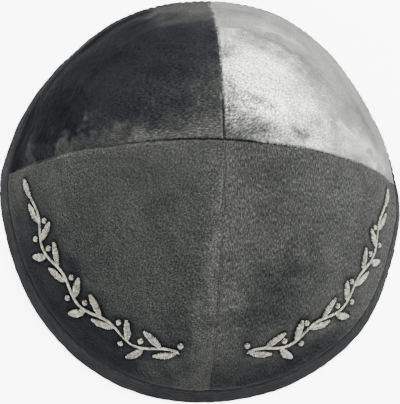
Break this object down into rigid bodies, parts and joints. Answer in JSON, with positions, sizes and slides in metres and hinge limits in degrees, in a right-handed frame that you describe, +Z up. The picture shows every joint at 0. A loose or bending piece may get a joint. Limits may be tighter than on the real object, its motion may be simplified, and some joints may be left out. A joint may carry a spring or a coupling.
{
  "type": "skullcap",
  "caption": "Dome-shaped skullcap sewn from velvet panels that meet at the crown, with a folded cloth binding round its open rim.",
  "frame": {"origin": "on the floor under the middle of the cap's box, where it rests on its rim", "axes": "+Z up to the crown, -Y towards the front seam between the embroidered panels, +X to the right of someone facing the cap"},
  "size_m": [0.1696, 0.1754, 0.0594],
  "materials": {
    "velvet": "charcoal cotton velvet with a short brushed pile, embroidered in cream thread",
    "binding_cloth": "dark grey folded cloth strip"
  },
  "bodies": {
    "root": {"panel_front_left": "velvet", "panel_front_right": "velvet", "panel_back_left": "velvet", "panel_back_right": "velvet", "rim_binding": "binding_cloth"}
  },
  "joints": []
}
